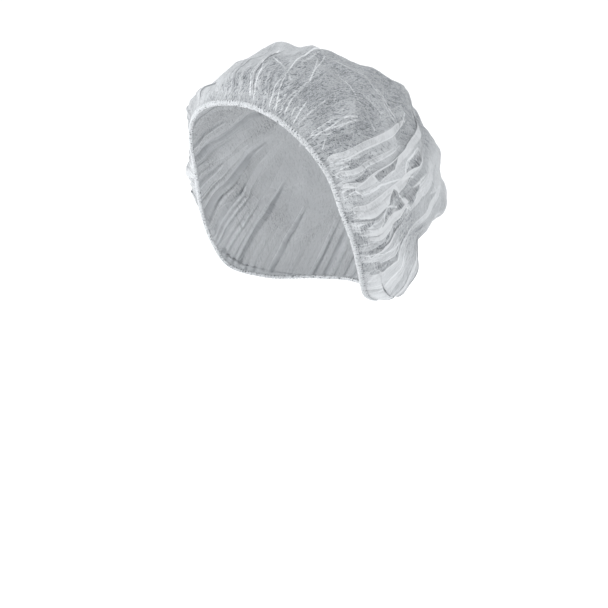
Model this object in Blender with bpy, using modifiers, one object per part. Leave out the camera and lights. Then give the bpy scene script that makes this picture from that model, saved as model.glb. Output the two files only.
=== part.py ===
"""Bouffant cap as it sits on a head: a gathered cloth crown and its elastic edge.

The head that the cap fits is a rounded form, and the origin is the seat on top of it.
The wearer faces -Y, +X is the wearer's left and +Z is up.

The cloth is a surface of two parameters. Turn goes round the opening in degrees, from the
forehead (0) over the left ear to the nape (180) and back over the right ear. Drop runs from
the pole of the crown (0) to the gathered edge (1). Lengths in the tables are shares of the
named sizes.
"""

import bmesh
import bpy
import numpy as np

# The head form that the cap fits, in metres.
HEAD_BREADTH = 0.145
HEAD_LENGTH = 0.193
HEAD_HEIGHT = 0.182
HEAD_SQUARENESS = 2.3

# The cap on it: the pole leans back, and the cloth stands off the head by up to the puff.
POLE_LEAN_DEG = 45.0
PUFF_DEPTH = 0.022
POLE_STAND_OFF = 0.006

# The cloth, its folds and gathers.
CLOTH_WALL = 0.0012
FOLD_HEIGHT = 0.0055
FOLD_WIDTH = 0.0048
FOLD_SWEEP_DEG = 30.0
GATHER_HEIGHT = 0.0011
GATHERS = 36
LOBE_HEIGHT = 0.007

# Drops at which these forms begin, stand at full height and end.
SAG_START = 0.74
SWEEP_END = 0.4
FOLD_TOP_FADE = 0.1
FOLD_BOTTOM_FADE = 0.04
GATHER_START = 0.45
GATHER_FULL = 0.9
GATHER_END = 0.94
LOBE_START = 0.1
LOBE_END = 0.88

# The elastic edge, and the clearance that it keeps from the cloth.
BAND_WIDTH = 0.0034
BAND_THICKNESS = 0.002
BAND_SQUARENESS = 3.0
SEAM_GAP = 0.0003

# Faces round the opening, down the crown and round the band's section. Rows crowd to the edge.
COLUMNS = 4 * GATHERS
ROWS = 16
BAND_SIDES = 8
ROW_CROWDING = 1.25
WELD_DISTANCE = 0.00002

# The gathered edge, a row for each place round half the head.
# turn (degrees), polar angle from the pole (degrees), stand-off (share of PUFF_DEPTH)
EDGE = (
    (0, 89.4, 0.01),
    (30, 92.6, 0.01),
    (55, 100.7, 0.01),
    (75, 111.2, 0.06),
    (90, 116.4, 0.22),
    (108, 121.2, 0.42),
    (126, 122.0, 0.62),
    (145, 113.5, 0.62),
    (165, 102.0, 0.44),
    (180, 98.0, 0.44),
)

# How far the cloth stands off the head, a row for each place round half the head.
# turn (degrees), then shares of PUFF_DEPTH at the drops in PUFF_DROPS
PUFF_DROPS = (0.30, 0.55, 0.78, 0.90, 0.97)
PUFF = (
    (0, 0.18, 0.27, 0.41, 0.32, 0.12),
    (45, 0.18, 0.23, 0.41, 0.32, 0.12),
    (90, 0.36, 0.59, 0.64, 0.60, 0.40),
    (115, 0.45, 0.86, 0.59, 0.77, 0.68),
    (140, 0.45, 0.91, 0.50, 0.84, 0.82),
    (180, 0.45, 1.00, 0.82, 0.88, 0.66),
)

# How far the cloth sags past its own edge, a row for each place round half the head.
# turn (degrees), sag (degrees of polar angle)
SAG = (
    (0, 1.5),
    (60, 1.5),
    (100, 4.0),
    (130, 8.5),
    (150, 6.5),
    (180, 5.0),
)

# The main folds, which run from the edge towards the crown, a row for each.
# turn at the edge (degrees), drop at the top, drop at the bottom,
# height (share of FOLD_HEIGHT), width (share of FOLD_WIDTH)
LEFT_FOLDS = (
    (10.0, 0.50, 0.95, 0.75, 0.9),
    (20.0, 0.42, 0.95, 0.60, 0.8),
    (27.5, 0.58, 0.94, 0.50, 0.8),
    (40.0, 0.78, 0.94, 0.55, 0.8),
    (50.0, 0.42, 0.95, 1.00, 1.1),
    (62.5, 0.36, 0.95, 1.00, 1.1),
    (72.5, 0.44, 0.94, 0.80, 1.0),
    (80.0, 0.80, 0.94, 0.60, 1.4),
    (90.0, 0.70, 0.92, 0.75, 1.0),
    (100.0, 0.74, 0.90, 0.65, 0.9),
    (107.5, 0.76, 0.88, 0.50, 0.9),
    (122.5, 0.72, 0.86, 0.40, 1.0),
    (137.5, 0.62, 0.88, 0.50, 1.1),
    (155.0, 0.50, 0.90, 0.60, 1.1),
    (170.0, 0.56, 0.90, 0.60, 1.1),
)
RIGHT_FOLDS = (
    (12.5, 0.66, 0.94, 0.55, 0.9),
    (25.0, 0.60, 0.95, 0.70, 1.0),
    (37.5, 0.74, 0.94, 0.50, 0.9),
    (50.0, 0.48, 0.95, 0.60, 1.0),
    (60.0, 0.62, 0.95, 0.50, 1.0),
    (70.0, 0.40, 0.95, 1.00, 1.1),
    (85.0, 0.72, 0.95, 0.70, 1.2),
    (97.5, 0.54, 0.90, 0.75, 1.0),
    (112.5, 0.72, 0.88, 0.50, 0.9),
    (130.0, 0.60, 0.88, 0.50, 1.1),
    (147.5, 0.66, 0.88, 0.50, 1.1),
    (162.5, 0.52, 0.90, 0.60, 1.1),
)

# Single lobes and dents that show in the outline, a row for each; turn is minus on the right.
# turn (degrees), drop, height (share of LOBE_HEIGHT, minus for a dent),
# half width round (degrees), half width down (drop)
LOBES = (
    (-11, 0.54, 0.95, 7, 0.09),
    (-24, 0.79, -0.90, 12, 0.10),
    (-52, 0.86, -0.60, 12, 0.12),
    (-39, 0.90, 0.45, 7, 0.05),
    (40, 0.15, -0.35, 22, 0.08),
    (68, 0.20, 0.35, 12, 0.07),
    (30, 0.48, 0.30, 14, 0.04),
    (94, 0.38, 0.30, 8, 0.06),
    (116, 0.57, 0.55, 12, 0.06),
    (105, 0.24, -0.45, 9, 0.06),
    (128, 0.69, -0.80, 16, 0.06),
    (136, 0.83, 0.95, 16, 0.07),
    (-108, 0.50, 0.50, 16, 0.10),
    (-134, 0.80, 0.70, 16, 0.08),
)


def smooth_step(values, start, end):
    """Zero at start, one at end, with flat ends."""
    share = np.clip((values - start) / (end - start), 0.0, 1.0)
    return share * share * (3.0 - 2.0 * share)


def cubic(places, knots, heights):
    """Smooth curve through heights at knots; heights hold the knots on their last axis."""
    slopes = np.gradient(heights, knots, axis=-1)
    left = np.clip(np.searchsorted(knots, places, side="right") - 1, 0, len(knots) - 2)
    span = knots[left + 1] - knots[left]
    t = (places - knots[left]) / span

    def at(table, index):
        if table.ndim == 1:
            return table[index]
        return np.take_along_axis(table, index[..., None], axis=-1)[..., 0]

    start = at(heights, left) * (1 + 2 * t) + at(slopes, left) * span * t
    end = at(heights, left + 1) * (3 - 2 * t) + at(slopes, left + 1) * span * (t - 1)
    return start * (1 - t) ** 2 + end * t ** 2


def round_head(turn, table, column):
    """A column of a table for half the head, carried smoothly round both sides."""
    rows = np.array(table, dtype=float)
    turns, heights = rows[:, 0], rows[:, column]
    knots = np.concatenate([-turns[:0:-1], turns, 360.0 - turns[-2::-1]])
    values = np.concatenate([heights[:0:-1], heights, heights[-2::-1]])
    return cubic(turn % 360.0, knots, values)


def direction(turn, polar):
    """Unit vectors from the head's centre."""
    lean = np.radians(POLE_LEAN_DEG)
    pole = np.array([0.0, np.sin(lean), np.cos(lean)])
    front = np.array([0.0, -np.cos(lean), np.sin(lean)])
    left = np.array([1.0, 0.0, 0.0])
    turn, polar = np.radians(turn)[..., None], np.radians(polar)[..., None]
    ring = np.cos(turn) * front + np.sin(turn) * left
    return np.sin(polar) * ring + np.cos(polar) * pole


def head_radius(directions):
    """Distance from the head's centre to its surface."""
    half = np.array([HEAD_BREADTH, HEAD_LENGTH, HEAD_HEIGHT]) / 2
    power = HEAD_SQUARENESS
    return (np.abs(directions / half) ** power).sum(axis=-1) ** (-1.0 / power)


def envelope(turn, drop):
    """The cap's outer form without folds and gathers."""
    edge_polar = round_head(turn, EDGE, 1)
    sag = round_head(turn, SAG, 1) * np.sin(np.pi * smooth_step(drop, SAG_START, 1.0)) ** 2
    directions = direction(turn, edge_polar * drop + sag)
    stations = [np.full_like(turn, POLE_STAND_OFF)]
    for column in range(1, len(PUFF_DROPS) + 1):
        stations.append(round_head(turn, PUFF, column) * PUFF_DEPTH)
    stations.append(round_head(turn, EDGE, 2) * PUFF_DEPTH)
    knots = np.array([0.0, *PUFF_DROPS, 1.0])
    stand_off = cubic(drop, knots, np.stack(stations, axis=-1))
    reach = head_radius(directions) + stand_off
    return directions * reach[..., None] - np.array([0.0, 0.0, HEAD_HEIGHT / 2])


def swept(edge_turn, drop):
    """Turn reached by a fold line that starts at edge_turn and leans back as it climbs."""
    side = np.sin(np.radians(edge_turn))
    climb = np.clip((1.0 - drop) / (1.0 - SWEEP_END), 0.0, 1.0)
    return edge_turn + FOLD_SWEEP_DEG * side * np.abs(side) * climb


def cloth_form(edge_turn, drop):
    """The envelope along swept lines."""
    return envelope(swept(edge_turn, drop), drop)


def normals(edge_turn, drop):
    """Outward unit normals of the swept envelope."""
    step_turn, step_drop = 0.5, 0.004
    inner = np.clip(drop, 2 * step_drop, 1.0 - step_drop)
    round_way = cloth_form(edge_turn + step_turn, inner) - cloth_form(edge_turn - step_turn, inner)
    down_way = cloth_form(edge_turn, inner + step_drop) - cloth_form(edge_turn, inner - step_drop)
    outward = np.cross(down_way, round_way)
    return outward / np.linalg.norm(outward, axis=-1, keepdims=True)


def turn_between(turn, centre):
    """Signed degrees from centre to turn, the short way round."""
    return (turn - centre + 180.0) % 360.0 - 180.0


def folds(edge_turn, drop, ring_radius):
    """Height of the main folds on both sides."""
    height = np.zeros_like(drop)
    for side, table in ((1, LEFT_FOLDS), (-1, RIGHT_FOLDS)):
        for turn, top, bottom, height_share, width_share in table:
            across = np.radians(turn_between(edge_turn, side * turn)) * ring_radius
            ridge = np.exp(-(across / (FOLD_WIDTH * width_share)) ** 2)
            risen = smooth_step(drop, top - FOLD_TOP_FADE, top + FOLD_TOP_FADE)
            ended = smooth_step(drop, bottom - FOLD_BOTTOM_FADE, bottom + FOLD_BOTTOM_FADE)
            height += FOLD_HEIGHT * height_share * ridge * risen * (1 - ended)
    return height


def gathers(edge_turn, drop):
    """Small flutes that rise from the elastic and die out up the crown."""
    flute = np.cos(np.radians(edge_turn) * GATHERS)
    uneven = 0.75 + 0.25 * np.cos(np.radians(edge_turn) * 7 + 1.0)
    reach = smooth_step(drop, GATHER_START, GATHER_FULL) * (1 - smooth_step(drop, GATHER_END, 1.0))
    return GATHER_HEIGHT * flute * uneven * reach


def lobes(edge_turn, drop):
    """Single lobes and dents."""
    height = np.zeros_like(drop)
    for turn, at_drop, height_share, half_round, half_down in LOBES:
        away = (turn_between(edge_turn, turn) / half_round) ** 2 + ((drop - at_drop) / half_down) ** 2
        height += LOBE_HEIGHT * height_share * np.exp(-away)
    return height * smooth_step(drop, 0.0, LOBE_START) * (1 - smooth_step(drop, LOBE_END, 1.0))


def cloth(edge_turn, drop):
    """The cap's outer surface with lobes, folds and gathers."""
    form = cloth_form(edge_turn, drop)
    polar = np.radians(round_head(edge_turn, EDGE, 1) * drop)
    from_centre = form + np.array([0.0, 0.0, HEAD_HEIGHT / 2])
    ring_radius = np.linalg.norm(from_centre, axis=-1) * np.sin(polar)
    height = folds(edge_turn, drop, ring_radius) + gathers(edge_turn, drop) + lobes(edge_turn, drop)
    return form + normals(edge_turn, drop) * height[..., None]


def material(name, colour, roughness):
    """A plain Principled material."""
    made = bpy.data.materials.new(name)
    made.use_nodes = True
    shader = made.node_tree.nodes["Principled BSDF"]
    shader.inputs["Base Color"].default_value = (*colour, 1.0)
    shader.inputs["Roughness"].default_value = roughness
    shader.inputs["Metallic"].default_value = 0.0
    made.diffuse_color = (*colour, 1.0)
    return made


def wrapped_grid(name, columns, rows, surface, collection, look):
    """A grid whose two directions, each from 0 to 1, are laid on a surface and welded."""
    shape = bmesh.new()
    bmesh.ops.create_grid(shape, x_segments=columns, y_segments=rows, size=0.5)
    flat = np.array([vertex.co[:2] for vertex in shape.verts]) + 0.5
    for vertex, point in zip(shape.verts, surface(flat[:, 0], 1.0 - flat[:, 1])):
        vertex.co = point
    bmesh.ops.remove_doubles(shape, verts=shape.verts, dist=WELD_DISTANCE)
    mesh = bpy.data.meshes.new(name)
    shape.to_mesh(mesh)
    shape.free()
    mesh.shade_smooth()
    made = bpy.data.objects.new(name, mesh)
    made.data.materials.append(look)
    collection.objects.link(made)
    return made


def build_crown(collection):
    """The cloth: an open gathered shell given its wall inwards."""

    def surface(round_share, down_share):
        drop = 1.0 - (1.0 - down_share) ** ROW_CROWDING
        return cloth(round_share * 360.0, drop)

    look = material("white_spunbond_cloth", (0.86, 0.88, 0.9), 0.85)
    crown = wrapped_grid("crown", COLUMNS, ROWS, surface, collection, look)
    wall = crown.modifiers.new("wall", "SOLIDIFY")
    wall.thickness = CLOTH_WALL
    wall.offset = -1.0


def build_band(collection):
    """The elastic edge: a closed loop with a rounded flat section below the cloth's edge."""

    def surface(round_share, section_share):
        turn = round_share * 360.0
        edge = cloth(turn, np.ones_like(turn))
        down = edge - cloth(turn, np.full_like(turn, 0.99))
        down /= np.linalg.norm(down, axis=-1, keepdims=True)
        out = normals(turn, np.ones_like(turn))
        out -= down * (out * down).sum(axis=-1, keepdims=True)
        out /= np.linalg.norm(out, axis=-1, keepdims=True)
        centre = edge + down * (SEAM_GAP + BAND_WIDTH / 2) - out * CLOTH_WALL / 2
        angle = -2 * np.pi * section_share
        power = BAND_SQUARENESS
        corner = (np.abs(np.cos(angle)) ** power + np.abs(np.sin(angle)) ** power) ** (-1 / power)
        width_way = np.cos(angle) * corner * BAND_WIDTH / 2
        thick_way = np.sin(angle) * corner * BAND_THICKNESS / 2
        return centre + down * width_way[..., None] + out * thick_way[..., None]

    look = material("white_elastic", (0.82, 0.83, 0.84), 0.7)
    wrapped_grid("elastic_band", COLUMNS, BAND_SIDES, surface, collection, look)


def main():
    for old in list(bpy.data.objects):
        bpy.data.objects.remove(old, do_unlink=True)
    collection = bpy.data.collections.new("bouffant_cap")
    bpy.context.scene.collection.children.link(collection)
    build_crown(collection)
    build_band(collection)


main()
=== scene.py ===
# %% [markdown]
# A bouffant cap, as it is worn
#
# The real thing is a disc of very thin white nonwoven cloth. Its rim is gathered onto a ring of
# elastic, so twice as much cloth as there is room for arrives at the edge and has to fold. Those
# folds, and the light that passes through their layers, are what the eye reads as a bouffant
# cap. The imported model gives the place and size. This file gives cloth, folds and finishes.

import bpy
import numpy as np
from mathutils import Matrix, Vector


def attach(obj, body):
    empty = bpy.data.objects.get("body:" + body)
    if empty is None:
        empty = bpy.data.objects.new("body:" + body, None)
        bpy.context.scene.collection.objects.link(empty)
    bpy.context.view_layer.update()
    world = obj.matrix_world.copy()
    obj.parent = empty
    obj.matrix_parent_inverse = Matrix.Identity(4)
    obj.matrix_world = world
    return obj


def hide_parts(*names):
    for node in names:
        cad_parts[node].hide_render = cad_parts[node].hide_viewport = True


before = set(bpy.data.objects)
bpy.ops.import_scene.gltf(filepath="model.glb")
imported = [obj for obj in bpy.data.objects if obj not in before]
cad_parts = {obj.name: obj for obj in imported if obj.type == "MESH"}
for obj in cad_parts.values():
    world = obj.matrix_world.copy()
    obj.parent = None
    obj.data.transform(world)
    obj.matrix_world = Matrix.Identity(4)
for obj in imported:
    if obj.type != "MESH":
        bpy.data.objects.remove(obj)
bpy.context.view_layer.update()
print("nodes in the frame:", sorted(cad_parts))

# %% [markdown]
# The photograph's view
#
# A camera is placed by what it has to see. The cap's head form is centred a known way below the
# origin, and in the photograph that centre shows at a known pixel. The camera looks down on it
# by 15 degrees from the wearer's left front. From the distance and the size of a pixel at that
# distance follow both the lens and the camera's place. All lengths are in metres.

# %% The camera
PICTURE_SIDE = 608
PIXEL_SIZE = 0.00073
VIEW_DISTANCE = 1.5
VIEW_AZIMUTH = np.radians(40.0)
VIEW_ELEVATION = np.radians(15.0)
HEAD_CENTRE_PIXEL = (298.3, 183.4)
SENSOR_WIDTH = 36.0
FLOOR_LEVEL = -0.38
HEAD_BREADTH, HEAD_LENGTH, HEAD_HEIGHT = 0.145, 0.193, 0.182
HEAD_SQUARENESS = 2.3
HEAD_CENTRE = np.array([0.0, 0.0, -HEAD_HEIGHT / 2])


def make_camera():
    """Camera axes from azimuth and elevation, then its place from the head centre's pixel."""
    flat, rise = np.cos(VIEW_ELEVATION), np.sin(VIEW_ELEVATION)
    sine, cosine = np.sin(VIEW_AZIMUTH), np.cos(VIEW_AZIMUTH)
    back = np.array([sine * flat, -cosine * flat, rise])
    right = np.array([cosine, sine, 0.0])
    up = np.cross(back, right)
    across = (HEAD_CENTRE_PIXEL[0] - PICTURE_SIDE / 2) * PIXEL_SIZE
    above = (PICTURE_SIDE / 2 - HEAD_CENTRE_PIXEL[1]) * PIXEL_SIZE
    place = HEAD_CENTRE + back * VIEW_DISTANCE - right * across - up * above
    camera = bpy.data.objects.new("camera", bpy.data.cameras.new("camera"))
    camera.data.sensor_width = SENSOR_WIDTH
    camera.data.lens = SENSOR_WIDTH * VIEW_DISTANCE / (PIXEL_SIZE * PICTURE_SIDE)
    turn = Matrix((right, up, back)).transposed().to_4x4()
    camera.matrix_world = Matrix.Translation(Vector(place)) @ turn
    bpy.context.scene.collection.objects.link(camera)
    bpy.context.scene.camera = camera
    print(f"lens {camera.data.lens:.1f} mm, camera {place[2] - FLOOR_LEVEL:.2f} m above the floor")


make_camera()

# %% [markdown]
# Smooth curves through short tables
#
# Cloth has no drawing with exact arcs, but it has places where its form is known: the brow, the
# temple, the ear, the nape. A table with a row for each place, and a smooth curve through its
# rows, describes such a form with numbers that can be read and changed.

# %% Curves through tables
def smooth_step(values, start, end):
    """Zero at start and one at end, with flat ends: 3t^2 - 2t^3."""
    share = np.clip((values - start) / (end - start), 0.0, 1.0)
    return share * share * (3.0 - 2.0 * share)


def cubic(places, dark_specks, heights):
    """Hermite curve: each stretch is the cubic with the heights and slopes of its two ends."""
    slopes = np.gradient(heights, dark_specks, axis=-1)
    left = np.clip(np.searchsorted(dark_specks, places, side="right") - 1, 0, len(dark_specks) - 2)
    span = dark_specks[left + 1] - dark_specks[left]
    t = (places - dark_specks[left]) / span

    def at(table, index):
        if table.ndim == 1:
            return table[index]
        return np.take_along_axis(table, index[..., None], axis=-1)[..., 0]

    start = at(heights, left) * (1 + 2 * t) + at(slopes, left) * span * t
    end = at(heights, left + 1) * (3 - 2 * t) + at(slopes, left + 1) * span * (t - 1)
    return start * (1 - t) ** 2 + end * t ** 2


def round_head(turn, table, column):
    """A column of a table for half the head, mirrored to the other half and read at any turn."""
    rows = np.array(table, dtype=float)
    turns, heights = rows[:, 0], rows[:, column]
    dark_specks = np.concatenate([-turns[:0:-1], turns, 360.0 - turns[-2::-1]])
    values = np.concatenate([heights[:0:-1], heights, heights[-2::-1]])
    return cubic(turn % 360.0, dark_specks, values)


print("a smooth step at 0, 0.25, 0.5 and 1:", smooth_step(np.array([0, 0.25, 0.5, 1]), 0, 1))

# %% [markdown]
# The form under the folds
#
# Two parameters reach every point of the cap. Turn goes round the opening from the forehead (0)
# over the left ear to the nape (180 degrees) and back. Drop runs from the pole of the crown (0)
# to the gathered edge (1). A direction from the head's centre, the head's own radius that way
# and the cloth's stand-off from the head give the point.

# %% The smooth form
POLE_LEAN = np.radians(45.0)
PUFF_DEPTH = 0.022
POLE_STAND_OFF = 0.006
SAG_START = 0.74
# slopes are taken over these steps of turn (degrees) and drop, and between these drops
TURN_STEP, DROP_STEP = 0.4, 0.004
SLOPE_DROPS = (0.01, 0.996)
LEAST_DROP = 0.02

# turn (degrees), polar angle of the edge (degrees), stand-off (share of PUFF_DEPTH)
EDGE = (
    (0, 89.4, 0.01), (30, 92.6, 0.01), (55, 100.7, 0.01), (75, 111.2, 0.06), (90, 116.4, 0.22),
    (108, 121.2, 0.42), (126, 122.0, 0.62), (145, 113.5, 0.62), (165, 102.0, 0.44),
    (180, 98.0, 0.44),
)
# turn (degrees), then the stand-off at each of PUFF_DROPS (shares of PUFF_DEPTH)
PUFF_DROPS = (0.30, 0.55, 0.78, 0.90, 0.97)
PUFF = (
    (0, 0.18, 0.27, 0.41, 0.32, 0.12),
    (45, 0.18, 0.23, 0.41, 0.32, 0.12),
    (90, 0.36, 0.59, 0.64, 0.60, 0.40),
    (115, 0.45, 0.86, 0.59, 0.77, 0.68),
    (140, 0.45, 0.91, 0.50, 0.84, 0.82),
    (180, 0.45, 1.00, 0.82, 0.88, 0.66),
)
# turn (degrees), how far the cloth sags past its own edge (degrees of polar angle)
SAG = ((0, 1.5), (60, 1.5), (100, 4.0), (130, 8.5), (150, 6.5), (180, 5.0))


def direction(turn, polar):
    """Unit vector: sin(polar) times the ring direction, plus cos(polar) times the leaning pole."""
    pole = np.array([0.0, np.sin(POLE_LEAN), np.cos(POLE_LEAN)])
    front = np.array([0.0, -np.cos(POLE_LEAN), np.sin(POLE_LEAN)])
    left = np.array([1.0, 0.0, 0.0])
    turn, polar = np.radians(turn)[..., None], np.radians(polar)[..., None]
    return np.sin(polar) * (np.cos(turn) * front + np.sin(turn) * left) + np.cos(polar) * pole


def head_radius(directions):
    """Superellipsoid: the radius where |x/a|^p + |y/b|^p + |z/c|^p is one."""
    half = np.array([HEAD_BREADTH, HEAD_LENGTH, HEAD_HEIGHT]) / 2
    return (np.abs(directions / half) ** HEAD_SQUARENESS).sum(axis=-1) ** (-1 / HEAD_SQUARENESS)


def form(turn, drop):
    """Smooth outer form of the cap: head radius plus stand-off, along each direction."""
    sag = round_head(turn, SAG, 1) * np.sin(np.pi * smooth_step(drop, SAG_START, 1.0)) ** 2
    directions = direction(turn, round_head(turn, EDGE, 1) * drop + sag)
    stations = [np.full_like(turn, POLE_STAND_OFF)]
    stations += [round_head(turn, PUFF, column) * PUFF_DEPTH for column in range(1, 6)]
    stations += [round_head(turn, EDGE, 2) * PUFF_DEPTH]
    stand_off = cubic(drop, np.array([0.0, *PUFF_DROPS, 1.0]), np.stack(stations, axis=-1))
    return directions * (head_radius(directions) + stand_off)[..., None] + HEAD_CENTRE


def form_normal(turn, drop):
    """Outward unit normal of the form, from small steps both ways."""
    inner = np.clip(drop, *SLOPE_DROPS)
    ring_way = form(turn + TURN_STEP, inner) - form(turn - TURN_STEP, inner)
    down_way = form(turn, inner + DROP_STEP) - form(turn, inner - DROP_STEP)
    outward = np.cross(down_way, ring_way)
    return outward / np.linalg.norm(outward, axis=-1, keepdims=True)


def ring_radius(turn, drop):
    """Distance from the pole's axis, which turns a length along a ring into degrees of turn."""
    from_centre = np.linalg.norm(form(turn, drop) - HEAD_CENTRE, axis=-1)
    polar = round_head(turn, EDGE, 1) * np.maximum(drop, LEAST_DROP)
    return from_centre * np.sin(np.radians(polar))


ring = np.linspace(0.0, 360.0, 721)
edge_line = form(ring, np.ones_like(ring))
EDGE_LENGTH = np.linalg.norm(np.diff(edge_line, axis=0), axis=1).sum()
print(f"gathered edge {EDGE_LENGTH * 1000:.0f} mm round")

# %% [markdown]
# Where the folds lie
#
# Chance decides the small gathers: a seeded generator draws the same numbers each time. The
# main folds of the left side show in the photograph, so they and the lobes come from tables.
# The right side isn't in the photograph, and its rows are guessed.

# %% Tables of gathers, folds and lobes
GATHERS = 100
# where across a gather, from -0.5 to 0.5, the grid has its columns: close where the cloth turns
RISING_STATIONS = np.array([-0.5, -0.21, -0.07, 0.07, 0.21, 0.30, 0.40, 0.46, 0.487])
FALLING_STATIONS = np.array([-0.5, -0.46, -0.40, -0.30, -0.21, -0.07, 0.07, 0.21, 0.36])
ROWS = 111
ROW_CROWDING = 1.15
# a disc of 457 mm (18 inches), less the hem of about 13 mm all round that the casing takes
FLAT_DIAMETER = 0.43
FOLD_SWING = 0.0034
FOLD_RISE = 0.0008
RIDGE_HEIGHT = 0.0026
RIDGE_WIDTH = 0.0048
BILLOW_HEIGHT = 0.0005
GATHER_SWING = 0.0016
GATHER_RISE = 0.0010
SWEEP_END = 0.4

# turn at the edge (degrees, minus on the right), how far its line leans at the top (degrees)
LEAN = (
    (-180, 0), (-135, 0), (-115, -5), (-90, -20), (-64, -28), (-45, -26), (-30, -18), (-20, -14),
    (-10, -9), (0, -11), (9, -15), (20, -9), (27, 2), (40, 29), (50, 34), (64, 31), (75, 29),
    (90, 20), (103, 12), (115, 5), (135, 0), (180, 0),
)

# turn at the edge (degrees, minus on the right), drop at the top, drop at the bottom,
# height (share of RIDGE_HEIGHT), width (share of RIDGE_WIDTH), swing (share of FOLD_SWING)
MAIN_FOLDS = (
    (9, 0.60, 0.98, 0.75, 0.9, 0.52),
    (20, 0.42, 0.98, 0.60, 0.8, 0.38),
    (25, 0.62, 0.98, 0.40, 0.8, 0.36),
    (39, 0.78, 0.98, 0.55, 0.8, 0.45),
    (49.5, 0.46, 0.98, 1.00, 1.1, 1.15),
    (57, 0.64, 0.98, 0.50, 1.0, 0.70),
    (64, 0.38, 0.98, 1.00, 1.1, 1.25),
    (72, 0.46, 0.97, 0.80, 1.0, 1.10),
    (79, 0.66, 0.97, 0.60, 1.4, 1.20),
    (86.5, 0.58, 0.97, 0.60, 1.0, 0.90),
    (93, 0.70, 0.96, 0.55, 1.0, 0.85),
    (100.5, 0.78, 0.96, 0.45, 0.9, 0.85),
    (108, 0.76, 0.95, 0.35, 0.9, 0.70),
    (115, 0.82, 0.94, 0.30, 0.9, 0.75),
    (124, 0.78, 0.94, 0.30, 1.0, 0.75),
    (137.5, 0.62, 0.94, 0.50, 1.1, 1.00),
    (155, 0.50, 0.95, 0.60, 1.1, 1.00),
    (170, 0.56, 0.95, 0.60, 1.1, 0.90),
    (-12.5, 0.66, 0.98, 0.45, 0.9, 0.40),
    (-25, 0.60, 0.98, 0.60, 1.0, 0.45),
    (-37.5, 0.74, 0.98, 0.45, 0.9, 0.45),
    (-50, 0.48, 0.98, 0.60, 1.0, 1.00),
    (-60, 0.62, 0.98, 0.50, 1.0, 0.80),
    (-70, 0.40, 0.97, 1.00, 1.1, 1.20),
    (-85, 0.72, 0.97, 0.70, 1.2, 1.00),
    (-97.5, 0.54, 0.96, 0.75, 1.0, 1.10),
    (-112.5, 0.72, 0.95, 0.50, 0.9, 0.80),
    (-130, 0.60, 0.94, 0.50, 1.1, 1.00),
    (-147.5, 0.66, 0.94, 0.50, 1.1, 0.90),
    (-162.5, 0.52, 0.95, 0.60, 1.1, 1.00),
)
LOBE_HEIGHT = 0.007
# turn (degrees), drop, height (share of LOBE_HEIGHT), half width round (degrees), down (drop)
LOBES = (
    (-11, 0.54, 0.95, 7, 0.09), (1, 0.47, 0.35, 7, 0.06), (-24, 0.79, -0.90, 12, 0.10),
    (-52, 0.86, -0.60, 12, 0.12), (-39, 0.90, 0.45, 7, 0.05), (40, 0.15, -0.35, 22, 0.08),
    (68, 0.20, 0.35, 12, 0.07), (30, 0.48, 0.30, 14, 0.04), (94, 0.38, 0.30, 8, 0.06),
    (116, 0.57, 0.55, 12, 0.06), (105, 0.24, -0.45, 9, 0.06), (128, 0.69, -0.80, 16, 0.06),
    (136, 0.83, 0.95, 16, 0.07), (-108, 0.50, 0.50, 16, 0.10), (-134, 0.80, 0.70, 16, 0.08),
)
GATHER_TOPS = (0.5, 0.88)
GATHER_SIZES = (0.6, 1.2)
# from this gather, up to this one, how much larger or smaller the gathers are there
GATHER_SHARES = ((0, 8, 0.75), (8, 13, 0.6), (29, 40, 0.45), (42, 82, 1.4), (94, GATHERS, 0.7))

chance = np.random.default_rng(7)
gather_top = chance.uniform(*GATHER_TOPS, GATHERS)
gather_size = chance.uniform(*GATHER_SIZES, GATHERS)
for first, past, share in GATHER_SHARES:
    gather_size[first:past] *= share
gather_side = chance.choice([-1.0, 1.0], GATHERS)
print(f"{GATHERS} gathers, {len(MAIN_FOLDS)} main folds, {len(LOBES)} lobes and dents")

# %% [markdown]
# Lines that lean
#
# A fold doesn't climb straight to the pole. Its line leans in proportion to the climb from the
# edge, by an amount from a table. Lobes have a simpler lean of their own, which is solved by
# repeating one step until it settles.

# %% Fold lines
LOBE_LEAN = 30.0
LOBE_LEAN_STEPS = 30
TOP_FADE, BOTTOM_FADE = 0.1, 0.03


def climb(drop):
    """Zero at the edge and one from SWEEP_END up."""
    return np.clip((1.0 - drop) / (1.0 - SWEEP_END), 0.0, 1.0)


def swept(edge_turn, drop):
    """A fold line leans as it climbs: turn at the edge plus the table's lean times the climb."""
    dark_specks, leans = np.array(LEAN, dtype=float).T
    return edge_turn + cubic((edge_turn + 180.0) % 360.0 - 180.0, dark_specks, leans) * climb(drop)


def place_of_lobe(turn, drop):
    """Lobes keep to lines of their own: solves t + LOBE_LEAN sin t |sin t| climb = turn for t."""
    found = turn
    for _ in range(LOBE_LEAN_STEPS):
        side = np.sin(np.radians(found))
        found = turn - LOBE_LEAN * side * np.abs(side) * climb(drop)
    return found


def turn_between(turn, centre):
    """Signed degrees from centre to turn, the short way round."""
    return (turn - centre + 180.0) % 360.0 - 180.0


def fold_reach(drop, top, bottom):
    """One between the top and the bottom of a fold, fading to nothing past both."""
    below_top = smooth_step(drop, top - TOP_FADE, top + TOP_FADE)
    return below_top * (1 - smooth_step(drop, bottom - BOTTOM_FADE, bottom + BOTTOM_FADE))


print("lean of the folds over the left ear:", np.round(swept(90.0, 0.7) - 90.0, 1), "degrees")

# %% [markdown]
# Ridges, billows and lobes
#
# Three kinds of low relief lift the cloth without folding it: a bell across each main fold, long
# waves of air, and single bells for the lobes and dents that shape the outline.

# %% Low relief
RIDGE_END = 0.05
BILLOWS = (5, 7, 9, 11, 13)
BILLOW_DRIFT = 4.0
BILLOW_STRETCH = (0.9, 1.2)


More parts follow.
